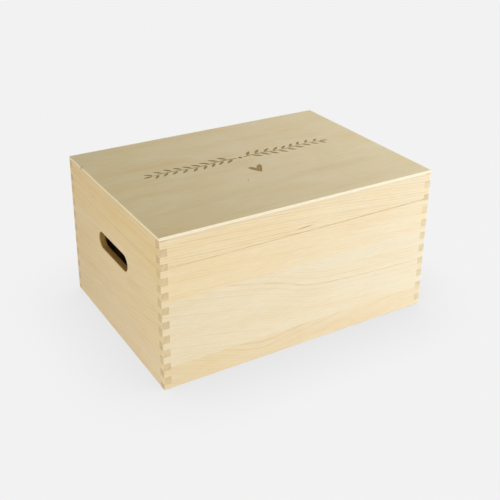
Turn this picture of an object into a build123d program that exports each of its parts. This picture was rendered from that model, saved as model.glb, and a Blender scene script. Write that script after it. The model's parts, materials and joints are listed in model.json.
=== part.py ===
"""Pine keepsake box with box-jointed corners, hand slots and a hinged, plywood-topped lid.

Millimetres. The origin is the centre of the base's underside, +X runs along the box,
+Y towards the back, where the hinges are, and +Z up. The lid is closed.
"""
from build123d import *
import math
import os

# Outside size of the closed box
box_length = 350.0
box_depth = 250.0
box_height = 180.0

# Solid pine boards of the base and the lid
board_thickness = 8.0
base_height = 144.0
rim_gap = 0.1            # between the rims of the closed box
saw_kerf = 1.3           # lost where the glued-up box was sawn into base and lid
corner_radius = 1.2      # sanded upright corners
foot_edge_radius = 0.6   # sanded lower edges

# Box joints, counted upwards from the underside
finger_height = 8.5
first_finger_height = 6.8

# Plywood panels
lid_panel_thickness = 3.0
lid_panel_edge_radius = 1.0
floor_panel_thickness = 3.0
floor_height = 5.0             # air under the floor panel
floor_groove_depth = 3.0
floor_edge_clearance = 0.3

# Hand slots through both short sides
slot_length = 80.0
slot_width = 20.0
slot_centre_height = 108.5
slot_edge_radius = 1.0

# Two solid-drawn butt hinges, let into the back rims
hinge_spacing = 210.0
hinge_length = 30.0
leaf_width = 7.0
leaf_thickness = 1.0
mortise_clearance = 0.1
barrel_radius = 1.9
barrel_clearance = 0.2         # from the back faces of the box
knuckle_count = 5              # the base leaf has the outer ones
knuckle_gap = 0.15
pin_radius = 0.9
pin_running_clearance = 0.05
pin_head_radius = 1.3
pin_head_length = 0.5

# Countersunk wood screws in the hinge leaves
screw_length = 10.0
screw_shank_radius = 0.9
screw_head_radius = 1.7
screw_point_length = 2.0
screw_clearance = 0.05
screw_end_distance = 6.0       # from a leaf's end to its nearest screw
cross_slot_length = 1.9
cross_slot_width = 0.4
cross_slot_depth = 0.45

# Places that follow from the sizes above
half_length = box_length / 2
half_depth = box_depth / 2
inner_half_length = half_length - board_thickness
inner_half_depth = half_depth - board_thickness
lid_rim_height = base_height + rim_gap
lid_panel_height = box_height - lid_panel_thickness
axis_y = half_depth + barrel_clearance + barrel_radius
axis_height = base_height + rim_gap / 2
knuckle_length = (hinge_length - (knuckle_count - 1) * knuckle_gap) / knuckle_count
screw_head_height = screw_head_radius - screw_shank_radius
through = 1.0                  # how far a cutter runs past the face it opens


def block(x_range, y_range, z_range):
    """A box between three pairs of low and high places."""
    sizes = [high - low for low, high in (x_range, y_range, z_range)]
    centre = [(low + high) / 2 for low, high in (x_range, y_range, z_range)]
    return Pos(*centre) * Box(*sizes)


def rod(radius, x_low, x_high, y, z):
    """A cylinder along X."""
    centre = Pos((x_low + x_high) / 2, y, z)
    return centre * Rot(0, 90, 0) * Cylinder(radius, x_high - x_low)


def as_one(node):
    """The solids of a cut or joined shape, as one shape to export."""
    solids = node.solids()
    return solids[0] if len(solids) == 1 else Compound(children=list(solids))


# --- Box joints -------------------------------------------------------------------

def finger_levels(low, high, first_level):
    """Height ranges of every second finger, from low to high."""
    pitch = 2 * finger_height
    count = math.ceil((high - first_level) / pitch)
    levels = []
    for index in range(-1, count):
        start = first_level + index * pitch
        bottom = max(start, low)
        top = min(start + finger_height, high)
        if top > bottom:
            levels.append((bottom, top))
    return levels


def corner_cutters(levels):
    """Blocks at the four corners of the box that clear the given levels."""
    cutters = []
    for x_side in (-1, 1):
        for y_side in (-1, 1):
            x_range = sorted((x_side * inner_half_length, x_side * (half_length + through)))
            y_range = sorted((y_side * inner_half_depth, y_side * (half_depth + through)))
            for level in levels:
                cutters.append(block(x_range, y_range, level))
    return cutters


def long_board(y_side, z_range, pattern_shift):
    """Front (y_side -1) or back (1) board. The side boards' fingers are cut out of it."""
    y_range = sorted((y_side * inner_half_depth, y_side * half_depth))
    side_levels = finger_levels(*z_range, first_finger_height - pattern_shift)
    return block((-half_length, half_length), y_range, z_range) - corner_cutters(side_levels)


def side_board(plate, z_range, pattern_shift):
    """A plate across the whole depth, less the fingers of the front and back boards."""
    long_levels = finger_levels(*z_range, first_finger_height - finger_height - pattern_shift)
    return plate - corner_cutters(long_levels)


def side_plate(x_side, z_range):
    """Plain board for the left (x_side -1) or right (1) side, over the whole depth."""
    x_range = sorted((x_side * inner_half_length, x_side * half_length))
    return block(x_range, (-half_depth, half_depth), z_range)


def sanded_outline(z_range):
    """The outside of the box with its upright corners rounded."""
    outline = block((-half_length, half_length), (-half_depth, half_depth), z_range)
    return fillet(outline.edges().filter_by(Axis.Z), corner_radius)


# --- Base -------------------------------------------------------------------------

base_range = (0, base_height)
base_outline = sanded_outline(base_range)
base_outline = fillet(base_outline.edges().group_by(Axis.Z)[0], foot_edge_radius)


def floor_recess():
    """The groove around the inside, as one block of its outer size."""
    reach_x = inner_half_length + floor_groove_depth
    reach_y = inner_half_depth + floor_groove_depth
    top = floor_height + floor_panel_thickness
    return block((-reach_x, reach_x), (-reach_y, reach_y), (floor_height, top))


def slotted_plate(x_side):
    """Side plate of the base with its rounded hand slot."""
    plate = side_plate(x_side, base_range)
    inner_x = x_side * (inner_half_length - through)
    slot_plane = Plane((inner_x, 0, slot_centre_height), x_dir=(0, 1, 0), z_dir=(x_side, 0, 0))
    slot = slot_plane * SlotOverall(slot_length, slot_width)
    plate -= extrude(slot, board_thickness + 2 * through)
    mouths = [wire for face in plate.faces().filter_by(Axis.X) for wire in face.inner_wires()]
    rims = [edge for mouth in mouths for edge in mouth.edges()]
    return plate.fillet(slot_edge_radius, rims)


def base_front_board():
    return (long_board(-1, base_range, 0) & base_outline) - floor_recess()


def base_back_board():
    board = (long_board(1, base_range, 0) & base_outline) - floor_recess()
    return board - hinge_housings(base_height, -1)


def base_side_board(x_side):
    board = side_board(slotted_plate(x_side), base_range, 0) & base_outline
    return board - floor_recess()


def base_floor_panel():
    """Plywood floor, loose by a little in its groove."""
    reach_x = inner_half_length + floor_groove_depth - floor_edge_clearance
    reach_y = inner_half_depth + floor_groove_depth - floor_edge_clearance
    top = floor_height + floor_panel_thickness
    return block((-reach_x, reach_x), (-reach_y, reach_y), (floor_height, top))


# --- Lid --------------------------------------------------------------------------

# The joints run on from the base, less what the saw took and the rims leave open.
lid_range = (lid_rim_height, lid_panel_height)
lid_shift = saw_kerf - rim_gap
lid_outline = sanded_outline(lid_range)


def lid_front_rail():
    return long_board(-1, lid_range, lid_shift) & lid_outline


def lid_back_rail():
    rail = long_board(1, lid_range, lid_shift) & lid_outline
    return rail - hinge_housings(lid_rim_height, 1)


def lid_side_rail(x_side):
    return side_board(side_plate(x_side, lid_range), lid_range, lid_shift) & lid_outline


def lid_top_panel():
    """Plywood top, glued on flush with the rails and rounded over."""
    panel = sanded_outline((lid_panel_height, box_height))
    return fillet(panel.edges().group_by(Axis.Z)[-1], lid_panel_edge_radius)


# --- Hinges -----------------------------------------------------------------------

def screw_places():
    """X of the two screws of a leaf, from the hinge's middle."""
    reach = hinge_length / 2 - screw_end_distance
    return (-reach, reach)


screw_y = half_depth - leaf_width / 2
hinge_places = {"left": -hinge_spacing / 2, "right": hinge_spacing / 2}


def screw_shape(extra):
    """A countersunk screw, its head at the origin and its point down, grown by extra."""
    shank = screw_shank_radius + extra
    head = screw_head_radius + extra
    tip = screw_length + extra
    shoulder = screw_length - screw_point_length
    outline = Polyline(
        (0, 0), (head, 0), (shank, -screw_head_height), (shank, -shoulder), (0, -tip), close=True
    )
    return revolve(Plane.XZ * make_face(outline), Axis.Z)


def placed_on_rim(shape, x, rim, inward):
    """Put a screw on a rim, pointing down (inward -1) or up (1)."""
    turn = Rot(180, 0, 0) if inward > 0 else Rot(0, 0, 0)
    return Pos(x, screw_y, rim) * turn * shape


def hinge_housings(rim, inward):
    """What the hinges need cut out of a rim: a mortise each, and a hole for each screw."""
    cutters = []
    for hinge_x in hinge_places.values():
        half = hinge_length / 2 + mortise_clearance
        y_range = (half_depth - leaf_width - mortise_clearance, half_depth + through)
        z_range = sorted((rim - inward * through, rim + inward * leaf_thickness))
        cutters.append(block((hinge_x - half, hinge_x + half), y_range, z_range))
        for place in screw_places():
            cutters.append(placed_on_rim(screw_shape(screw_clearance), hinge_x + place, rim, inward))
    return cutters


def hinge_leaf(hinge_x, rim, inward, knuckles):
    """A leaf flush with its rim, with its knuckles of the barrel behind the box."""
    z_range = sorted((rim, rim + inward * leaf_thickness))
    x_low = hinge_x - hinge_length / 2
    leaf = block((x_low, x_low + hinge_length), (half_depth - leaf_width, half_depth), z_range)
    for index in knuckles:
        start = x_low + index * (knuckle_length + knuckle_gap)
        end = start + knuckle_length
        leaf += block((start, end), (half_depth, axis_y), z_range)
        leaf += rod(barrel_radius, start, end, axis_y, axis_height)
    bore_ends = (x_low - through, x_low + hinge_length + through)
    leaf -= rod(pin_radius + pin_running_clearance, *bore_ends, axis_y, axis_height)
    for place in screw_places():
        leaf -= placed_on_rim(screw_shape(screw_clearance), hinge_x + place, rim, inward)
    return leaf


def hinge_pin(hinge_x):
    """The pin, with a riveted head against each end of the barrel."""
    low = hinge_x - hinge_length / 2
    high = hinge_x + hinge_length / 2
    pin = rod(pin_radius, low, high, axis_y, axis_height)
    for start, end in ((low - pin_head_length, low), (high, high + pin_head_length)):
        pin += rod(pin_head_radius, start, end, axis_y, axis_height)
    outer_rims = pin.edges().filter_by(GeomType.CIRCLE).sort_by(Axis.X)
    return fillet([outer_rims[0], outer_rims[-1]], pin_head_length / 2)


def hinge_screws(hinge_x, rim, inward):
    """The two screws of one leaf, their cross slots turned differently."""
    screws = []
    for place, slot_angle in zip(screw_places(), (20, 65)):
        cross = Box(cross_slot_length, cross_slot_width, 2 * cross_slot_depth)
        cross += Box(cross_slot_width, cross_slot_length, 2 * cross_slot_depth)
        screw = screw_shape(0) - Rot(0, 0, slot_angle) * cross
        screws.append(placed_on_rim(screw, hinge_x + place, rim, inward))
    return Compound(children=[solid for screw in screws for solid in screw.solids()])


# --- All nodes --------------------------------------------------------------------

nodes = {
    "base_front_board": base_front_board(),
    "base_back_board": base_back_board(),
    "base_left_board": base_side_board(-1),
    "base_right_board": base_side_board(1),
    "base_floor_panel": base_floor_panel(),
    "lid_front_rail": lid_front_rail(),
    "lid_back_rail": lid_back_rail(),
    "lid_left_rail": lid_side_rail(-1),
    "lid_right_rail": lid_side_rail(1),
    "lid_top_panel": lid_top_panel(),
}
base_knuckles = range(0, knuckle_count, 2)
lid_knuckles = range(1, knuckle_count, 2)
for side, hinge_x in hinge_places.items():
    nodes[f"{side}_hinge_base_leaf"] = hinge_leaf(hinge_x, base_height, -1, base_knuckles)
    nodes[f"{side}_hinge_lid_leaf"] = hinge_leaf(hinge_x, lid_rim_height, 1, lid_knuckles)
    nodes[f"{side}_hinge_pin"] = hinge_pin(hinge_x)
    nodes[f"{side}_hinge_base_screws"] = hinge_screws(hinge_x, base_height, -1)
    nodes[f"{side}_hinge_lid_screws"] = hinge_screws(hinge_x, lid_rim_height, 1)

os.makedirs("parts", exist_ok=True)
for name, node in nodes.items():
    export_step(as_one(node), f"parts/{name}.step")
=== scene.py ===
"""Looks of a pine keepsake box: sanded boards, an engraved plywood lid and brass hinges.

Wood is described in millimetres, as the boards are. Blender's own lengths are metres.
"""
from dataclasses import dataclass, replace
import json
import math

import bmesh
import bpy
from mathutils import Matrix, Vector
from mathutils.geometry import interpolate_bezier

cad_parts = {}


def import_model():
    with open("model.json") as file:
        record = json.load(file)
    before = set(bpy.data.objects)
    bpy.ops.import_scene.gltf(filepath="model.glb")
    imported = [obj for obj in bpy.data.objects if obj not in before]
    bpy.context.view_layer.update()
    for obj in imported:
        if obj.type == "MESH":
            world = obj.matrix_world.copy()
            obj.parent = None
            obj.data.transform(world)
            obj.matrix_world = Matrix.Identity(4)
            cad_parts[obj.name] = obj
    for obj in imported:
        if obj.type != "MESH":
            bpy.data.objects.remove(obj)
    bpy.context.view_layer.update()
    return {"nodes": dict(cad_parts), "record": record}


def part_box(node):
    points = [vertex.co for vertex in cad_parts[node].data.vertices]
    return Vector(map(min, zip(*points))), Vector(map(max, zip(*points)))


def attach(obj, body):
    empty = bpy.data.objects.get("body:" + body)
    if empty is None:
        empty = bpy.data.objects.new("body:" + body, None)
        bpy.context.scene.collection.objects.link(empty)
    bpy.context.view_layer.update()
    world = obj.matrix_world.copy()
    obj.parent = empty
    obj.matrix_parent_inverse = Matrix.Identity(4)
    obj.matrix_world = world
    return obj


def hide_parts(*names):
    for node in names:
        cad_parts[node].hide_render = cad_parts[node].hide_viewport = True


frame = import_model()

MM = 0.001
scene = bpy.context.scene


def box_in_mm(node):
    low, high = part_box(node)
    return low / MM, high / MM


front_low, front_high = box_in_mm("base_front_board")
rail_low, rail_high = box_in_mm("lid_front_rail")
panel_low, panel_high = box_in_mm("lid_top_panel")
HALF_LENGTH = front_high.x
HALF_WIDTH = -front_low.y
THICKNESS = front_high.y - front_low.y
SEAM = (front_high.z + rail_low.z) / 2
FINGER = 8.5              # height of one finger of the corner joints
FIRST_FINGER = 6.8        # where the lowest whole finger starts
SAW_LOSS = 1.2            # how far the saw cut brought the lid's fingers down


# --- Node trees -------------------------------------------------------------------

class Shader:
    """A node tree that is built from values and sockets alike."""

    def __init__(self, name, tree=None):
        if tree is None:
            self.material = bpy.data.materials.new(name)
            self.material.use_nodes = True
            tree = self.material.node_tree
        self.tree = tree
        tree.nodes.clear()

    def feed(self, socket, value):
        if isinstance(value, bpy.types.NodeSocket):
            self.tree.links.new(value, socket)
        else:
            socket.default_value = value

    def add(self, kind, inputs=None, **settings):
        node = self.tree.nodes.new(kind)
        for name, value in settings.items():
            setattr(node, name, value)
        for name, value in (inputs or {}).items():
            self.feed(node.inputs[name], value)
        return node

    def math(self, operation, *values):
        return self.add("ShaderNodeMath", dict(enumerate(values)), operation=operation).outputs[0]

    def total(self, *values):
        result = values[0]
        for value in values[1:]:
            result = self.math("ADD", result, value)
        return result

    def times(self, *values):
        result = values[0]
        for value in values[1:]:
            result = self.math("MULTIPLY", result, value)
        return result

    def root(self, *values):
        """Root of the sum of squares."""
        return self.math("SQRT", self.total(*(self.times(value, value) for value in values)))

    def size(self, value):
        return self.math("ABSOLUTE", value)

    def least(self, *values):
        result = values[0]
        for value in values[1:]:
            result = self.math("MINIMUM", result, value)
        return result

    def step(self, value, start, end):
        """0 at start to 1 at end, smoothly."""
        inputs = {"Value": value, "From Min": start, "From Max": end}
        return self.add("ShaderNodeMapRange", inputs, interpolation_type="SMOOTHSTEP").outputs[0]

    def inverse(self, value):
        return self.math("SUBTRACT", 1.0, value)

    def near(self, value, centre, reach):
        """1 at the centre to 0 at a reach away from it, smoothly."""
        return self.inverse(self.step(self.size(self.total(value, -centre)), 0.0, reach))

    def vector(self, x, y, z):
        return self.add("ShaderNodeCombineXYZ", {"X": x, "Y": y, "Z": z}).outputs[0]

    def noise(self, vector, detail=2.0, roughness=0.5):
        """Smooth noise about 0, mostly between -1 and 1, with one cell a unit."""
        inputs = {"Vector": vector, "Scale": 1.0, "Detail": detail, "Roughness": roughness}
        value = self.add("ShaderNodeTexNoise", inputs, noise_dimensions="3D").outputs[0]
        return self.math("MULTIPLY_ADD", value, 4.0, -2.0)

    def noise_line(self, value, detail=1.0):
        """Smooth noise along one number, about 0, mostly between -1 and 1."""
        inputs = {"W": value, "Scale": 1.0, "Detail": detail, "Roughness": 0.5}
        value = self.add("ShaderNodeTexNoise", inputs, noise_dimensions="1D").outputs[0]
        return self.math("MULTIPLY_ADD", value, 4.0, -2.0)

    def cells(self, place, lengths, shifts=(0.0, 0.0, 0.0)):
        """Coordinates that give noise cells of these lengths, 0 any way that's left out."""
        parts = []
        for value, length, shift in zip(place, lengths, shifts):
            parts.append(self.total(self.times(value, 1 / length), shift))
        return self.vector(*parts, *[0.0] * (3 - len(parts)))

    def mottle(self, wood, cell):
        """Noise of one cell's size every way."""
        return self.noise(self.cells(wood.place, (cell, cell, cell)))

    def mix(self, factor, first, second, blend="MIX"):
        node = self.add("ShaderNodeMix", data_type="RGBA", blend_type=blend)
        for index, value in ((0, factor), (6, first), (7, second)):
            self.feed(node.inputs[index], value)
        return node.outputs[2]

    def tint(self, colour, by, amount=1.0):
        """The colour times another, in part or in full."""
        return self.mix(amount, colour, by, "MULTIPLY")

    def shade(self, colour, value):
        """The colour times a number."""
        grey = self.add("ShaderNodeCombineColor", {0: value, 1: value, 2: value}).outputs[0]
        return self.tint(colour, grey)

    def surface(self, colour, roughness, height=None, relief=0.0, specular=0.5, metallic=0.0):
        """Principled surface; relief is how tall, in metres, a height of 1 stands."""
        inputs = {
            "Base Color": colour,
            "Roughness": roughness,
            "Specular IOR Level": specular,
            "Metallic": metallic,
        }
        if height is not None:
            bump = {"Height": height, "Strength": 1.0, "Distance": relief}
            inputs["Normal"] = self.add("ShaderNodeBump", bump).outputs[0]
        shader = self.add("ShaderNodeBsdfPrincipled", inputs)
        output = self.add("ShaderNodeOutputMaterial")
        self.tree.links.new(shader.outputs[0], output.inputs["Surface"])
        return self.material


# --- Wood -------------------------------------------------------------------------

EARLY_WOOD = (0.815, 0.676, 0.455, 1.0)
LATE_WOOD = (0.700, 0.520, 0.290, 1.0)
STAIN = (0.42, 0.22, 0.07, 1.0)
WARMER = (1.012, 0.980, 0.915, 1.0)        # this and the next six multiply the wood's colour
DARK_LINE = (0.64, 0.52, 0.36, 1.0)
# The next colour is painted shade in the seam between base and lid.
SEAM_SHADE = (0.60, 0.50, 0.30, 1.0)
# The next colour is painted shade on the rails just under the lid panel.
PANEL_SHADE = (0.955, 0.97, 1.03, 1.0)
# The next colour lightens the outer edges: sanding wear, partly a painted highlight.
WORN_EDGE_AND_HIGHLIGHT = (1.035, 1.035, 1.045, 1.0)
# The next colour is the slot walls' router scorch, made darker still as painted shade.
SCORCH_AND_SHADE = (0.63, 0.475, 0.205, 1.0)
# The next colour is painted shade on the faces that look into the box.
INSIDE_SHADE = (0.80, 0.76, 0.70, 1.0)
WHITE = (1.0, 1.0, 1.0, 1.0)
FINE_WOBBLE = 0.22        # of the grain's broad wobble
YEAR_CHANGE = 0.61        # how fast rings differ from one year to the next
STAVE_SEED_STEP = 7.3
GLUE_BLUR = 0.2           # half the width of the joint between two staves
JOINT_LINE = 0.030        # of a finger's height, from where two meet to where the line ends
SEAM_REACH = 0.65         # from the middle of the saw cut to where its painted shade ends
PANEL_SHADE_DROP = 1.2           # from the lid panel down to the middle of the painted shade under it
PANEL_SHADE_REACH = 2.2          # from there to where that painted shade ends


@dataclass
class Stave:
    """One strip of a glued-up board, in millimetres, and how the grain runs through it.

    The grain climbs by slope, turns by bend over about bend_width at bend_centre, and sways
    down by sway over about sway_width at sway_centre. Growth rings lie round a pith that runs
    along the grain at pith_height across the board and pith_through through it. Accents are
    single stronger lines, each a height at the bend's centre, a thickness and a strength.
    The tint runs from the first at the board's low end to the second at its high end, where a
    paler, bluer tint is painted light.
    """
    top: float
    tints: tuple
    spacing: float
    contrast: float
    pith_height: float
    pith_through: float
    slope: float = 0.0
    bend: float = 0.0
    bend_centre: float = 0.0
    bend_width: float = 40.0
    sway: float = 0.0
    sway_centre: float = 0.0
    sway_width: float = 30.0
    wobble: float = 1.0
    accents: tuple = ()


@dataclass
class Mark:
    """A soft-edged oval stain on a face, slanted by a rise for each millimetre along."""
    along: float
    across: float
    length: float
    width: float
    strength: float
    slant: float = 0.0
    colour: tuple = STAIN


@dataclass
class Wood:
    """Sockets, in millimetres: along the grain, across the board and through it."""
    along: object
    across: object
    through: object
    place: tuple
    normal: tuple
    end: object       # 1 on sawn ends, 0 on faces

    @property
    def grain(self):
        return self.along, self.across, self.through


def wood_axes(shader, order):
    """Board coordinates; order names the axes along, across and through."""
    coordinates = shader.add("ShaderNodeTexCoord").outputs
    inputs = {0: coordinates["Object"], "Scale": 1 / MM}
    scaled = shader.add("ShaderNodeVectorMath", inputs, operation="SCALE").outputs[0]
    place = shader.add("ShaderNodeSeparateXYZ", {0: scaled}).outputs[:]
    normal = shader.add("ShaderNodeSeparateXYZ", {0: coordinates["Normal"]}).outputs[:]
    along, across, through = ("XYZ".index(axis) for axis in order)
    end = shader.step(shader.size(normal[along]), 0.6, 0.9)
    return Wood(place[along], place[across], place[through], place, normal, end)


def grain_height(shader, wood, stave, seed):
    """Height across the board, straightened so that it's the same all along a line of grain."""
    turn = shader.total(wood.along, -stave.bend_centre)
    curve = shader.times(turn, stave.slope)
    if stave.bend:
        corner = shader.total(shader.root(turn, stave.bend_width), -stave.bend_width)
        curve = shader.total(curve, shader.times(corner, stave.bend))
    if stave.sway:
        over = shader.times(shader.total(wood.along, -stave.sway_centre), 1 / stave.sway_width)
        curve = shader.total(curve, shader.times(shader.math("TANH", over), -stave.sway / 2))
    broad = shader.noise(shader.cells(wood.grain, (130.0, 20.0, 20.0), (0.0, seed, 0.0)))
    fine = shader.noise(shader.cells(wood.grain, (40.0, 6.0, 6.0), (0.0, 0.0, seed)))
    wobble = shader.total(
        shader.times(broad, stave.wobble),
        shader.times(fine, stave.wobble * FINE_WOBBLE),
    )
    return shader.total(wood.across, shader.times(curve, -1.0), wobble)


def rings(shader, wood, stave, height, seed):
    """0 in early wood to 1 in the dark line that ends a year's growth."""
    depth = shader.total(wood.through, -stave.pith_through)
    far = shader.root(shader.total(height, -stave.pith_height), depth)
    year = shader.times(far, 1 / stave.spacing)
    part = shader.math("FRACT", year)
    dark = shader.times(shader.step(part, 0.15, 0.85), shader.inverse(shader.step(part, 0.88, 1.0)))
    change = shader.noise_line(shader.total(shader.times(year, YEAR_CHANGE), seed))
    by_year = shader.step(change, -0.9, 0.9)
    fade = shader.vector(shader.times(wood.along, 1 / 55), shader.times(height, 1 / 5), seed)
    by_place = shader.step(shader.noise(fade), -1.0, 0.9)
    return shader.times(dark, shader.total(0.2, by_year), shader.total(0.25, by_place))


def accent_lines(shader, wood, stave, height, seed):
    """Strength of the accent lines, each strongest in its middle and fading along the grain."""
    change = shader.noise_line(shader.total(shader.times(wood.along, 1 / 38), seed))
    fade = shader.step(change, -1.1, 0.5)
    result = 0.0
    for at, thickness, strength in stave.accents:
        line = shader.near(height, at, thickness)
        result = shader.total(result, shader.times(line, strength, shader.total(0.25, fade)))
    return result


def marked(shader, wood, colour, marks):
    """The colour with marks on it."""
    for mark in marks:
        along = shader.total(wood.along, -mark.along)
        across = shader.total(wood.across, -mark.across, shader.times(along, -mark.slant))
        ends, sides = shader.times(along, 2 / mark.length), shader.times(across, 2 / mark.width)
        inside = shader.inverse(shader.step(shader.root(ends, sides), 0.4, 1.1))
        colour = shader.mix(shader.times(inside, mark.strength), colour, mark.colour)
    return colour


def joint_lines(shader, wood, half_length, first, parity):
    """1 along the thin lines where the fingers of a corner joint meet.

    Counted up from first, the board's own fingers are the even or the odd ones, as parity says.
    """
    count = shader.times(shader.total(wood.across, -first), 1 / FINGER)
    odd = shader.math("FLOORED_MODULO", shader.math("FLOOR", count), 2.0)
    other = shader.size(shader.total(odd, -parity))
    level = shader.size(shader.total(shader.math("FRACT", shader.total(count, 0.5)), -0.5))
    beyond = shader.total(shader.size(wood.along), THICKNESS - half_length)
    between = shader.inverse(shader.step(level, 0.0, JOINT_LINE))
    across_line = shader.times(between, shader.step(beyond, -0.1, 0.1))
    along_line = shader.times(shader.near(beyond, -0.15, 0.35), other)
    strength = shader.step(shader.mottle(wood, 5.0), -1.2, 0.8)
    return shader.times(shader.math("MAXIMUM", across_line, along_line), strength)


def seam_shade(shader, wood, strength):
    """The strength of painted shade on the edges of the saw cut between base and lid."""
    mottle = shader.total(0.3, shader.step(shader.mottle(wood, 18.0), -1.3, 0.7))
    return shader.times(shader.near(wood.place[2], SEAM, SEAM_REACH), mottle, strength)


def worn_and_lit_edges(shader, wood):
    """1 on the outer edges of the closed box, which hands and sandpaper soften, and where a
    highlight is partly painted.
    """
    x, y, z = wood.place
    side = shader.math("SUBTRACT", HALF_LENGTH, shader.size(x))
    front = shader.math("SUBTRACT", HALF_WIDTH, shader.size(y))
    top = shader.math("SUBTRACT", panel_high.z, z)
    pairs = ((side, front), (side, top), (front, top), (side, z), (front, z))
    nearest = shader.least(*(shader.root(*pair) for pair in pairs))
    strength = shader.step(shader.mottle(wood, 9.0), -1.4, 0.6)
    return shader.times(shader.inverse(shader.step(nearest, 0.7, 2.6)), strength)


def slot_walls(shader, wood, middle):
    """1 on the walls of a hand slot: a straight run with two round ends, at a middle height."""
    straight = (SLOT_LENGTH - SLOT_WIDTH) / 2
    out = shader.math("MAXIMUM", shader.total(shader.size(wood.along), -straight), 0.0)
    away = shader.root(out, shader.total(wood.across, -middle))
    return shader.inverse(shader.step(away, SLOT_WIDTH / 2 + 0.2, SLOT_WIDTH / 2 + 1.0))


def inward(shader, wood, order):
    """1 on the face that looks into the box, where shade is painted."""
    out = shader.times(wood.normal["XYZ".index(order[2])], wood.through)
    return shader.step(out, 0.0, -HALF_WIDTH / 2)


@dataclass
class Board:
    """How a board is glued up, its staves listed from the lowest, and how its ends look."""
    order: str            # the axes along, across and through
    half_length: float
    parity: int           # 0 where its fingers are the even ones, 1 where they are the odd
    staves: list
    sawn: tuple
    seam: tuple           # strength of the painted shade in the seam at the low end and at the high end
    clouds: float         # how much its tone varies from place to place
    end_rings: float      # how strongly growth rings darken its sawn ends
    seed: float


def glued_staves(shader, wood, far, staves, seed):
    """The colour of staves glued edge to edge, and how dark their growth rings are."""
    colour = None
    ring = None
    for index, stave in enumerate(staves):
        stave_seed = seed + STAVE_SEED_STEP * index
        height = grain_height(shader, wood, stave, stave_seed)
        strength = shader.total(
            shader.times(rings(shader, wood, stave, height, stave_seed), stave.contrast),
            accent_lines(shader, wood, stave, height, stave_seed),
        )
        # the tint's change from the low end to the high end is partly painted light
        tint = shader.mix(far, *((*tint, 1.0) for tint in stave.tints))
        tinted = shader.tint(shader.mix(strength, EARLY_WOOD, LATE_WOOD), tint)
        if index == 0:
            colour, ring = tinted, strength
            continue
        joint = staves[index - 1].top
        above = shader.step(wood.across, joint - GLUE_BLUR, joint + GLUE_BLUR)
        below = shader.inverse(above)
        colour = shader.mix(above, colour, tinted)
        ring = shader.total(shader.times(ring, below), shader.times(strength, above))
    return colour, ring


def sawn_ends(shader, wood, board, ring):
    """The colour of a board's sawn ends, with pores and a trace of its growth rings."""
    pore = shader.cells(wood.grain, (1.0, 0.5, 0.5))
    pores = shader.noise(pore, detail=4.0, roughness=0.7)
    broad = shader.noise_line(shader.total(shader.times(wood.across, 1 / 14), board.seed))
    shade = shader.total(
        1.0,
        shader.times(pores, 0.045),
        shader.times(broad, 0.07),
        shader.times(ring, -board.end_rings),
    )
    return shader.shade((*board.sawn, 1.0), shade)


def joined(shader, wood, far, board, first, colour):
    """The colour with the lines of the corner joints, painted shade in the saw cut and painted
    shade under the lid panel.
    """
    low_seam, high_seam = board.seam
    seam = seam_shade(shader, wood, shader.total(shader.times(far, high_seam - low_seam), low_seam))
    joints = joint_lines(shader, wood, board.half_length, first, board.parity)
    # painted shade along the seam between base and lid
    colour = shader.tint(colour, SEAM_SHADE, seam)
    colour = shader.tint(colour, DARK_LINE, joints)
    # painted shade on the rails just under the lid panel
    panel_shade = shader.near(wood.place[2], panel_low.z - PANEL_SHADE_DROP, PANEL_SHADE_REACH)
    return shader.tint(colour, PANEL_SHADE, panel_shade)


def pine(name, board, first, staves=None, marks=(), slot=None):
    """Pine for a board whose fingers are counted up from first."""
    shader = Shader(name)
    wood = wood_axes(shader, board.order)
    far = shader.step(wood.along, -board.half_length, board.half_length)
    colour, ring = glued_staves(shader, wood, far, staves or board.staves, board.seed)

    cloud = shader.cells(wood.grain, (85.0, 13.0, 13.0), (0.0, board.seed, 0.0))
    streak = shader.cells(wood.grain, (14.0, 1.2, 1.2), (0.0, board.seed, 0.0))
    tone = shader.noise(cloud, detail=3.0)
    fibre = shader.noise(streak, detail=3.0, roughness=0.65)
    shade = shader.total(1.0, shader.times(tone, board.clouds), shader.times(fibre, 0.050))
    colour = shader.shade(colour, shade)
    colour = shader.tint(colour, WARMER, shader.step(shader.times(tone, -1.0), -0.6, 1.0))

    colour = shader.mix(wood.end, colour, sawn_ends(shader, wood, board, ring))
    colour = joined(shader, wood, far, board, first, colour)
    # painted shade inside the box
    colour = shader.tint(colour, INSIDE_SHADE, inward(shader, wood, board.order))
    # lighter, smoother outer edges: sanding wear, partly a painted highlight
    worn_and_lit = worn_and_lit_edges(shader, wood)
    colour = shader.tint(colour, WORN_EDGE_AND_HIGHLIGHT, worn_and_lit)
    colour = marked(shader, wood, colour, marks)
    if slot:
        # the slot walls: router scorch, darker still as painted shade
        colour = shader.tint(colour, SCORCH_AND_SHADE, slot_walls(shader, wood, slot))
    height = shader.total(shader.times(fibre, 0.5), shader.times(ring, 0.8))
    roughness = shader.total(0.62, shader.times(fibre, 0.04), shader.times(worn_and_lit, -0.10))
    return shader.surface(colour, roughness, height, relief=0.00003, specular=0.3)


def paint(node, material):
    """Give a node that keeps its own shape a better material."""
    node_object = frame["nodes"][node]
    node_object.data.materials.clear()
    node_object.data.materials.append(material)


# --- Boards -----------------------------------------------------------------------

SLOT_LENGTH = 80.0
SLOT_WIDTH = 20.0
# In YELLOW, PALE and ORANGE the high end's paler, bluer tint is painted light, for the brighter
# light on the right.
YELLOW = ((1.0, 0.99, 0.935), (0.995, 1.03, 1.075))
PALE = ((0.98, 1.02, 1.07), (0.98, 1.05, 1.16))
ORANGE = ((0.96, 0.965, 0.93), (0.975, 1.005, 1.07))
SIDE_PALE = ((1.035, 1.02, 0.97), (1.02, 1.0, 0.91))
SIDE_YELLOW = ((1.01, 0.97, 0.84), (1.005, 0.96, 0.84))
SIDE_ORANGE = ((1.0, 0.93, 0.73), (1.0, 0.93, 0.74))
LEFT_SAWN = (0.704, 0.551, 0.318)
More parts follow.
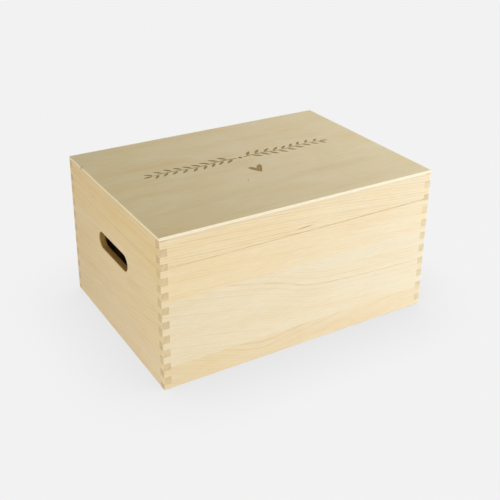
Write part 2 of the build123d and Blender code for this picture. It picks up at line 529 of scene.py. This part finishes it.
# The right ends are paler and bluer than the left: painted light, for the brighter light on the
# right.
RIGHT_SAWN_LIT = (0.724, 0.599, 0.379)
FRONT_SAWN = (0.705, 0.540, 0.292)

upper_stave = Stave(
    rail_high.z, YELLOW, spacing=3.1, contrast=0.58, pith_height=330.0, pith_through=-60.0,
    slope=-0.08, bend=-0.03, bend_width=60.0,
    accents=((178.0, 0.9, 0.26), (161.7, 0.8, 0.20), (169.5, 0.8, 0.14)),
)
quiet_stave = replace(upper_stave, contrast=0.28)
middle_stave = Stave(
    104.5, PALE, spacing=3.3, contrast=0.27, pith_height=330.0, pith_through=-40.0,
    slope=-0.125, bend=0.0775, bend_width=30.0,
    sway=12.0, sway_centre=-14.0,
    accents=((80.2, 1.3, 0.60), (72.5, 1.0, 0.16), (58.0, 1.2, 0.12)),
)
lower_stave = Stave(
    26.3, ORANGE, spacing=3.0, contrast=0.34, pith_height=240.0, pith_through=-40.0,
    slope=-0.10, bend=0.255, bend_centre=-58.0, bend_width=20.0,
    accents=((20.7, 1.5, 0.55), (13.4, 1.2, 0.40), (4.0, 1.2, 0.14)),
)
left_staves = [
    Stave(
        47.0, SIDE_PALE, spacing=1.65, contrast=0.28, pith_height=-50.0, pith_through=-20.0,
        slope=-0.16, bend=-0.06, bend_centre=10.0, wobble=2.0,
    ),
    Stave(
        128.0, SIDE_YELLOW, spacing=1.65, contrast=0.34, pith_height=0.0, pith_through=-20.0,
        slope=-0.16, bend=0.06, bend_centre=10.0, wobble=2.0,
    ),
    Stave(
        rail_high.z, SIDE_ORANGE, spacing=1.65, contrast=0.34, pith_height=70.0, pith_through=-20.0,
        slope=-0.03, wobble=1.6, accents=((167.0, 1.4, 0.30),),
    ),
]
right_staves = [replace(stave, tints=PALE) for stave in left_staves]

LID_FIRST = FIRST_FINGER - SAW_LOSS
openings = {opening["name"]: opening for opening in frame["record"]["physics"]["openings"]}
slot_low, slot_high = openings["left_hand_slot"]["box_m"]
SLOT_MIDDLE = (slot_low[2] + slot_high[2]) / 2 / MM
resin_streak = [Mark(-2.0, 149.6, 27.0, 1.4, 0.8, slant=0.05)]
smudges = [Mark(-30.0, 35.0, 11.0, 4.0, 0.06), Mark(-25.0, 67.0, 9.0, 2.5, 0.05)]

for end, seed in (("front", 11.0), ("back", 53.0)):
    staves = [lower_stave, middle_stave, quiet_stave]
    board = Board(
        order="XZY", half_length=HALF_LENGTH, parity=1, staves=staves,
        sawn=FRONT_SAWN, seam=(0.42, 1.05), clouds=0.018, end_rings=0.3, seed=seed,
    )
    paint(f"base_{end}_board", pine(f"pine_{end}", board, FIRST_FINGER))
    rail_board = replace(board, seed=seed + 2 * STAVE_SEED_STEP)
    rail = pine(
        f"pine_{end}_rail", rail_board, LID_FIRST, staves=[upper_stave],
        marks=resin_streak if end == "front" else (),
    )
    paint(f"lid_{end}_rail", rail)
sides = (("left", left_staves, LEFT_SAWN, 91.0), ("right", right_staves, RIGHT_SAWN_LIT, 97.0))
for side, staves, sawn, seed in sides:
    board = Board(
        order="YZX", half_length=HALF_WIDTH, parity=0, staves=staves,
        sawn=sawn, seam=(0.3, 0.3), clouds=0.034, end_rings=0.6, seed=seed,
    )
    slotted = pine(f"pine_{side}", board, FIRST_FINGER, marks=smudges, slot=SLOT_MIDDLE)
    paint(f"base_{side}_board", slotted)
    paint(f"lid_{side}_rail", pine(f"pine_{side}_rail", board, LID_FIRST))


# --- Brass ------------------------------------------------------------------------

def brass(name, colour):
    shader = Shader(name)
    coordinates = shader.add("ShaderNodeTexCoord").outputs["Object"]
    inputs = {"Vector": coordinates, "Scale": 900.0, "Detail": 3.0}
    fine = shader.add("ShaderNodeTexNoise", inputs).outputs[0]
    roughness = shader.total(shader.times(fine, 0.2), 0.18)
    return shader.surface(colour, roughness, fine, relief=0.00001, metallic=1.0)


hinge_brass = brass("brass_hinge", (0.83, 0.62, 0.28, 1.0))
screw_brass = brass("brass_screw", (0.78, 0.60, 0.30, 1.0))
for node in frame["nodes"]:
    if "screws" in node:
        paint(node, screw_brass)
    elif "hinge" in node:
        paint(node, hinge_brass)


# --- Plywood ----------------------------------------------------------------------

VENEER = (0.680, 0.556, 0.325, 1.0)
VENEER_WARM = (0.690, 0.525, 0.285, 1.0)
VENEER_PALE = (0.670, 0.572, 0.372, 1.0)
GRAIN_BAND = (0.50, 0.38, 0.21, 1.0)
SMOKE = (0.55, 0.38, 0.16, 1.0)            # what an engraver leaves on the wood round its work
LONG_EDGE = ((0.893, 0.808, 0.622, 1.0), (0.830, 0.750, 0.565, 1.0))     # outer plies, core
# On the short edges the pale core is partly a painted highlight.
SHORT_EDGE_AND_HIGHLIGHT = ((0.825, 0.680, 0.430, 1.0), (0.960, 0.810, 0.540, 1.0))
BURN = (0.515, 0.420, 0.262, 1.0)          # what engraving keeps of the veneer's colour
# VENEER_HIGH's paler, bluer tint is painted light, for the brighter light on the right.
VENEER_LOW = (0.985, 0.980, 0.910, 1.0)    # what multiplies the colour at the low end, and
VENEER_HIGH = (1.0, 1.005, 1.025, 1.0)     # at the high end
PLY_SHARE = 0.28                           # of the thickness, in each outer ply


def veneer(shader, wood, seed):
    """Rotary-cut veneer: cloudy, with soft bands along the grain."""
    sheet = (wood.along, wood.across)
    broad = shader.cells(sheet, (210.0, 26.0), (0.0, seed))
    cloud = shader.cells(sheet, (60.0, 34.0), (0.0, seed + 3.0))
    fine = shader.cells(sheet, (22.0, 2.2), (0.0, seed))
    band = shader.noise(broad, detail=4.0, roughness=0.6)
    clouds = shader.noise(cloud)
    fibre = shader.noise(fine, detail=3.0, roughness=0.6)
    colour = shader.mix(shader.step(band, -0.2, 1.0), VENEER, VENEER_WARM)
    colour = shader.mix(shader.step(clouds, -0.2, 1.2), colour, VENEER_PALE)
    # paler and bluer towards the right end: painted light
    far = shader.step(wood.along, -HALF_LENGTH, HALF_LENGTH / 4)
    colour = shader.tint(colour, shader.mix(far, VENEER_LOW, VENEER_HIGH))
    parts = ((band, -0.028), (clouds, 0.022), (fibre, 0.055))
    shade = shader.total(1.0, *(shader.times(noise, share) for noise, share in parts))
    return shader.shade(colour, shade), fibre


def ply_edge(shader, wood, low, high):
    """The edge of three plies, the core's grain across that of the outer two."""
    part = shader.times(shader.total(wood.place[2], -low), 1 / (high - low))
    from_middle = shader.size(shader.total(part, -0.5))
    core = shader.inverse(shader.step(from_middle, 0.47 - PLY_SHARE, 0.53 - PLY_SHARE))
    short = shader.step(shader.size(wood.normal[0]), 0.4, 0.6)
    # on the short edges the pale core is partly a painted highlight
    colour = shader.mix(short, shader.mix(core, *LONG_EDGE), shader.mix(core, *SHORT_EDGE_AND_HIGHLIGHT))
    speckle = shader.noise(shader.cells(wood.place, (0.4, 0.4, 0.4)), detail=4.0)
    return shader.shade(colour, shader.total(1.0, shader.times(speckle, 0.03)))


def plywood(name, seed, low, high, marks=(), burnt=False):
    shader = Shader(name)
    wood = wood_axes(shader, "XYZ")
    colour, fibre = veneer(shader, wood, seed)
    upright = shader.inverse(shader.step(shader.size(wood.normal[2]), 0.75, 0.97))
    if burnt:
        scan = shader.noise(shader.cells((wood.along, wood.across), (3.0, 0.2)))
        soot = shader.total(1.0, shader.times(scan, 0.05), shader.times(upright, -0.25))
        colour = shader.shade(shader.tint(colour, BURN), soot)
        return shader.surface(colour, 0.75, fibre, relief=0.00002, specular=0.2)
    colour = shader.mix(upright, colour, ply_edge(shader, wood, low, high))
    colour = marked(shader, wood, colour, marks)
    # lighter outer edges: sanding wear, partly a painted highlight
    colour = shader.tint(colour, WORN_EDGE_AND_HIGHLIGHT, worn_and_lit_edges(shader, wood))
    roughness = shader.total(0.58, shader.times(fibre, 0.03))
    return shader.surface(colour, roughness, fibre, relief=0.000012, specular=0.3)


lid_marks = [
    Mark(20.0, -98.0, 430.0, 70.0, 0.05, colour=SMOKE),
    Mark(85.0, -60.0, 230.0, 21.0, 0.15, colour=GRAIN_BAND),
    Mark(-70.0, -69.0, 190.0, 16.0, 0.12, slant=0.06, colour=GRAIN_BAND),
    Mark(100.0, -33.5, 200.0, 4.0, 0.12, slant=-0.05, colour=GRAIN_BAND),
    Mark(10.0, -112.0, 340.0, 4.0, 0.13, slant=0.01, colour=GRAIN_BAND),
    Mark(-115.0, -77.0, 130.0, 9.0, 0.12, slant=0.03, colour=GRAIN_BAND),
    Mark(-150.0, -26.0, 90.0, 9.0, 0.09, slant=-0.03, colour=GRAIN_BAND),
    Mark(-70.0, -5.0, 110.0, 5.0, 0.10, slant=-0.10, colour=GRAIN_BAND),
    Mark(-145.0, 17.0, 70.0, 8.0, 0.09, colour=GRAIN_BAND),
    Mark(-95.0, 45.0, 110.0, 40.0, 0.12, slant=-0.1, colour=SMOKE),
    Mark(105.0, 44.0, 70.0, 22.0, 0.09, slant=-0.1, colour=SMOKE),
    Mark(-4.0, 4.0, 66.0, 18.0, 0.14, colour=SMOKE),
    Mark(2.0, -11.0, 42.0, 24.0, 0.12, slant=-0.3, colour=SMOKE),
    Mark(-25.0, -43.5, 4.4, 3.6, 0.55, slant=1.6),                        # a small knot
    Mark(-4.0, 114.0, 5.0, 2.0, 0.25),                                    # nicks in the edges
    Mark(1.0 - HALF_LENGTH, 85.0, 4.5, 9.0, 0.7, colour=GRAIN_BAND),
]
lid_plywood = plywood("plywood_lid", 5.0, panel_low.z, panel_high.z, lid_marks)
burnt_plywood = plywood("plywood_engraved", 5.0, panel_low.z, panel_high.z, burnt=True)
floor_low, floor_high = box_in_mm("base_floor_panel")
paint("base_floor_panel", plywood("plywood_floor", 31.0, floor_low.z, floor_high.z))


# --- Engraved lid panel -----------------------------------------------------------

CORNER_RADIUS = 1.2
EDGE_RADIUS = 1.0
ROUND_STEPS = 6
ENGRAVING_DEPTH = 0.35
GARLAND_LENGTH = 256.0
GARLAND_CENTRE = Vector((0.6, 18.8))
GARLAND_START = 5.5       # from the garland's centre to where each sprig starts
GARLAND_SWAY = 1.6        # of a stem, to each side
GARLAND_WAVES = 1.5       # in each sprig
SPRIG_LEAVES = 9          # on each side of a stem
LEAF_LENGTH = 13.5        # of the first leaf, as is the width
LEAF_WIDTH = 4.1
LEAF_ANGLE = math.radians(42)
LEAF_GAP = 0.7            # between a stem and its leaves
LEAF_STEPS = 12
STEM_WIDTH = 1.8
STEM_STEPS = 48
DOT_RADIUS = 2.6
DOT_STEPS = 20
STROKE_STEPS = 8


def add_stack(shape, levels):
    """Add a closed skin through outlines of equally many points, each with its height."""
    hoops = []
    for outline, z in levels:
        hoops.append([shape.verts.new((p.x * MM, p.y * MM, z * MM)) for p in outline])
    for below, above in zip(hoops, hoops[1:]):
        for index in range(len(below)):
            after = (index + 1) % len(below)
            shape.faces.new((below[index], below[after], above[after], above[index]))
    shape.faces.new(hoops[0][::-1])
    shape.faces.new(hoops[-1])


def rounded_outline(low, high, inset):
    """The panel's outline, moved in by the inset."""
    radius = CORNER_RADIUS - inset
    corners = ((high.x, high.y), (low.x, high.y), (low.x, low.y), (high.x, low.y))
    points = []
    for quarter, (x, y) in enumerate(corners):
        centre = Vector((x - math.copysign(CORNER_RADIUS, x), y - math.copysign(CORNER_RADIUS, y)))
        for step in range(ROUND_STEPS + 1):
            angle = (quarter + step / ROUND_STEPS) * math.pi / 2
            points.append(centre + radius * Vector((math.cos(angle), math.sin(angle))))
    return points


def panel_body(low, high):
    """The panel without its engraving: square below, rounded over on top."""
    body = bmesh.new()
    levels = [(0.0, low.z), (0.0, high.z - EDGE_RADIUS)]
    for step in range(1, ROUND_STEPS + 1):
        angle = step / ROUND_STEPS * math.pi / 2
        inset, drop = EDGE_RADIUS * (1 - math.cos(angle)), EDGE_RADIUS * (1 - math.sin(angle))
        levels.append((inset, high.z - drop))
    add_stack(body, [(rounded_outline(low, high, inset), z) for inset, z in levels])
    return body


def leaf(base, angle, length, width):
    """A leaf with a point at both ends, widest before its middle."""
    along = Vector((math.cos(angle), math.sin(angle)))
    out = Vector((-along.y, along.x))
    upper, lower = [], []
    for step in range(1, LEAF_STEPS):
        share = step / LEAF_STEPS
        middle = base + along * length * share
        bulge = out * width / 2 * math.sin(math.pi * share ** 0.85) ** 0.9
        upper.append(middle + bulge)
        lower.append(middle - bulge)
    return [base, *lower, base + along * length, *upper[::-1]]


def stem_place(share, side):
    """A point on a sprig's stem, and its direction, from the middle outwards."""
    reach = GARLAND_LENGTH / 2 - LEAF_LENGTH - GARLAND_START
    turn = 2 * math.pi * GARLAND_WAVES
    out = Vector((side * (GARLAND_START + reach * share), GARLAND_SWAY * math.sin(turn * share)))
    rise = GARLAND_SWAY * turn * math.cos(turn * share) / reach
    return GARLAND_CENTRE + out, Vector((side, rise)).normalized()


def sprig(side):
    """Half of the garland: a swaying stem with leaves on both sides of it."""
    left, right = [], []
    for step in range(STEM_STEPS + 1):
        point, ahead = stem_place(step / STEM_STEPS, side)
        out = Vector((-ahead.y, ahead.x)) * STEM_WIDTH / 2 * (1 - 0.5 * step / STEM_STEPS)
        left.append(point + out)
        right.append(point - out)
    outlines = [left + right[::-1]]
    for number in range(SPRIG_LEAVES):
        for way, lag in ((1, 0.0), (-1, 0.5)):
            share = (number + 0.3 + lag) / SPRIG_LEAVES
            point, ahead = stem_place(share, side)
            angle = math.atan2(ahead.y, ahead.x) + way * LEAF_ANGLE
            clear = (STEM_WIDTH / 2 + LEAF_GAP) / math.sin(LEAF_ANGLE)
            base = point + Vector((math.cos(angle), math.sin(angle))) * clear
            size = 1.0 - 0.2 * share
            outlines.append(leaf(base, angle, LEAF_LENGTH * size, LEAF_WIDTH * size))
    point, ahead = stem_place(1.0, side)
    angle = math.atan2(ahead.y, ahead.x)
    outlines.append(leaf(point + ahead * LEAF_GAP, angle, LEAF_LENGTH * 0.9, LEAF_WIDTH * 0.8))
    return outlines


def circle(centre, radius):
    turns = [2 * math.pi * step / DOT_STEPS for step in range(DOT_STEPS)]
    return [centre + radius * Vector((math.cos(turn), math.sin(turn))) for turn in turns]


def heart():
    """A leaning heart drawn with a quick hand, from its tip round by the left lobe.

    Each stroke is a curve from a point to a point, with its two handles between them.
    """
    tip, left, dip, notch = (0.6, -31.0), (-7.8, -16.0), (-2.4, -13.8), (0.7, -19.2)
    lobe, right = (7.4, -11.0), (10.1, -13.8)
    strokes = [
        (tip, (-3.2, -26.2), (-7.5, -20.0), left),
        (left, (-8.0, -12.4), (-4.6, -11.6), dip),
        (dip, (-1.2, -14.8), (-0.1, -17.2), notch),
        (notch, (1.8, -17.0), (4.2, -12.2), lobe),
        (lobe, (9.6, -10.4), (10.6, -11.6), right),
        (right, (9.0, -19.0), (4.4, -25.5), tip),
    ]
    points = []
    for stroke in strokes:
        knots = [Vector((*point, 0.0)) for point in stroke]
        points += [point.to_2d() for point in interpolate_bezier(*knots, STROKE_STEPS + 1)[:-1]]
    return points


def prisms(outlines, low, high):
    """One upright prism for each outline."""
    shape = bmesh.new()
    for outline in outlines:
        area = sum(a.x * b.y - b.x * a.y for a, b in zip(outline, outline[1:] + outline[:1]))
        if area < 0:
            outline = outline[::-1]
        add_stack(shape, [(outline, low), (outline, high)])
    return shape


def mesh_object(name, shape, material):
    mesh = bpy.data.meshes.new(name)
    shape.to_mesh(mesh)
    shape.free()
    mesh.materials.append(material)
    piece = bpy.data.objects.new(name, mesh)
    scene.collection.objects.link(piece)
    return piece


def engraved_panel():
    panel = mesh_object("engraved_lid_panel", panel_body(panel_low, panel_high), lid_plywood)
    outlines = [*sprig(1), *sprig(-1), circle(GARLAND_CENTRE, DOT_RADIUS), heart()]
    shape = prisms(outlines, panel_high.z - ENGRAVING_DEPTH, panel_high.z + 1.0)
    tool = mesh_object("engraver", shape, burnt_plywood)
    cut = panel.modifiers.new("engraving", "BOOLEAN")
    cut.operation = "DIFFERENCE"
    cut.solver = "EXACT"
    cut.material_mode = "TRANSFER"
    cut.object = tool
    bpy.context.view_layer.update()
    carved = panel.evaluated_get(bpy.context.evaluated_depsgraph_get())
    mesh = bpy.data.meshes.new_from_object(carved)
    panel.modifiers.clear()
    panel.data = mesh
    bpy.data.objects.remove(tool)
    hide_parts("lid_top_panel")
    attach(panel, "lid")


engraved_panel()


# --- Stage ------------------------------------------------------------------------

BACKGROUND = 0.887        # of white, in linear light
AMBIENT = 0.405           # what the studio sheds on the box from all round
FLOOR_REACH = 8.0         # metres to each side
FLOOR_PAPER = (0.85, 0.85, 0.85, 1.0)
FLOOR_GLOW = 0.893        # the floor's own look, outside the painted contact shadow
FLOOR_SHADING = 0.015     # share of the floor's look that takes light and cast shadow
CONTACT_SHADOW_REACH = 0.105     # how far, in metres, the painted contact shadow reaches round the box
# how dark the painted contact shadow is next to the box
CONTACT_SHADOW_DEPTH = 0.22


def seen_rays(shader):
    """1 for rays that show the background: camera, glossy and transmission."""
    path = shader.add("ShaderNodeLightPath").outputs
    rays = shader.total(path["Is Camera Ray"], path["Is Glossy Ray"], path["Is Transmission Ray"])
    return shader.math("MINIMUM", rays, 1.0)


def floor():
    mesh = bpy.data.meshes.new("floor")
    ways = ((-1, -1), (1, -1), (1, 1), (-1, 1))
    corners = [(x * FLOOR_REACH, y * FLOOR_REACH, 0.0) for x, y in ways]
    mesh.from_pydata(corners, [], [(0, 1, 2, 3)])
    plane = bpy.data.objects.new("floor", mesh)
    scene.collection.objects.link(plane)
    shader = Shader("floor_paper")
    lit = shader.add("ShaderNodeBsdfDiffuse", {"Color": FLOOR_PAPER}).outputs[0]
    # Painted shadow: an ambient occlusion node darkens the floor's glow round the box.
    inputs = {"Distance": CONTACT_SHADOW_REACH}
    clear = shader.add("ShaderNodeAmbientOcclusion", inputs, samples=16).outputs["AO"]
    painted_shadow = shader.times(shader.inverse(clear), -CONTACT_SHADOW_DEPTH)
    strength = shader.times(shader.total(1.0, painted_shadow), FLOOR_GLOW)
    glow = shader.add("ShaderNodeEmission", {"Color": WHITE, "Strength": strength}).outputs[0]
    factor = shader.times(seen_rays(shader), 1 - FLOOR_SHADING)
    mixed = shader.add("ShaderNodeMixShader", {0: factor, 1: lit, 2: glow}).outputs[0]
    output = shader.add("ShaderNodeOutputMaterial")
    shader.tree.links.new(mixed, output.inputs["Surface"])
    mesh.materials.append(shader.material)


def world():
    sky = bpy.data.worlds.new("studio")
    scene.world = sky
    sky.use_nodes = True
    shader = Shader("studio", sky.node_tree)
    around = shader.add("ShaderNodeBackground", {"Color": WHITE, "Strength": AMBIENT}).outputs[0]
    seen = shader.add("ShaderNodeBackground", {"Color": WHITE, "Strength": BACKGROUND}).outputs[0]
    mixed = shader.add("ShaderNodeMixShader", {0: seen_rays(shader), 1: around, 2: seen}).outputs[0]
    output = shader.add("ShaderNodeOutputWorld")
    shader.tree.links.new(mixed, output.inputs["Surface"])


BOX_MIDDLE = (0.0, 0.0, 0.09)
LID_RIGHT = (0.1, 0.0, 0.18)
COOL = (0.96, 1.0, 1.06)


def lamp(name, place, target, size, power, colour=(1.0, 1.0, 1.0)):
    """A soft rectangular lamp that points at the target."""
    data = bpy.data.lights.new(name, "AREA")
    data.shape = "RECTANGLE"
    data.size, data.size_y = size
    data.energy = power
    data.color = colour
    rig = bpy.data.objects.new(name, data)
    rig.visible_camera = False
    scene.collection.objects.link(rig)
    rig.location = place
    rig.rotation_euler = (Vector(target) - Vector(place)).to_track_quat("-Z", "Y").to_euler()


CAMERA_PLACE = Vector((-0.4851, -0.8102, 0.5652))
CAMERA_AZIMUTH = math.radians(31.094)
CAMERA_FALL = math.radians(23.895)
CAMERA_ROLL = math.radians(0.532)
CAMERA_LENS = 62.109      # mm
SENSOR_WIDTH = 36.0       # mm
CAMERA_SHIFT = -0.1229    # share of the frame


def camera():
    """The photograph's view: along the azimuth from +Y towards +X, and down by the fall."""
    data = bpy.data.cameras.new("camera")
    data.sensor_width = SENSOR_WIDTH
    data.lens = CAMERA_LENS
    data.shift_y = CAMERA_SHIFT
    rig = bpy.data.objects.new("camera", data)
    scene.collection.objects.link(rig)
    ahead = Vector((
        math.sin(CAMERA_AZIMUTH) * math.cos(CAMERA_FALL),
        math.cos(CAMERA_AZIMUTH) * math.cos(CAMERA_FALL),
        -math.sin(CAMERA_FALL),
    ))
    level = ahead.cross(Vector((0, 0, 1))).normalized()
    above = level.cross(ahead)
    right = level * math.cos(CAMERA_ROLL) + above * math.sin(CAMERA_ROLL)
    up = above * math.cos(CAMERA_ROLL) - level * math.sin(CAMERA_ROLL)
    turn = Matrix((right, up, -ahead)).transposed()
    rig.matrix_world = Matrix.Translation(CAMERA_PLACE) @ turn.to_4x4()
    scene.camera = rig


scene.view_settings.view_transform = "Standard"
floor()
world()
lamp("key", (1.03, -1.20, 0.33), BOX_MIDDLE, size=(1.0, 0.7), power=14.0)
lamp("fill", (-1.23, -0.56, 0.18), BOX_MIDDLE, size=(0.9, 0.3), power=5.6)
lamp("side", (0.44, -0.07, 0.81), LID_RIGHT, size=(0.5, 0.5), power=2.96, colour=COOL)
camera()
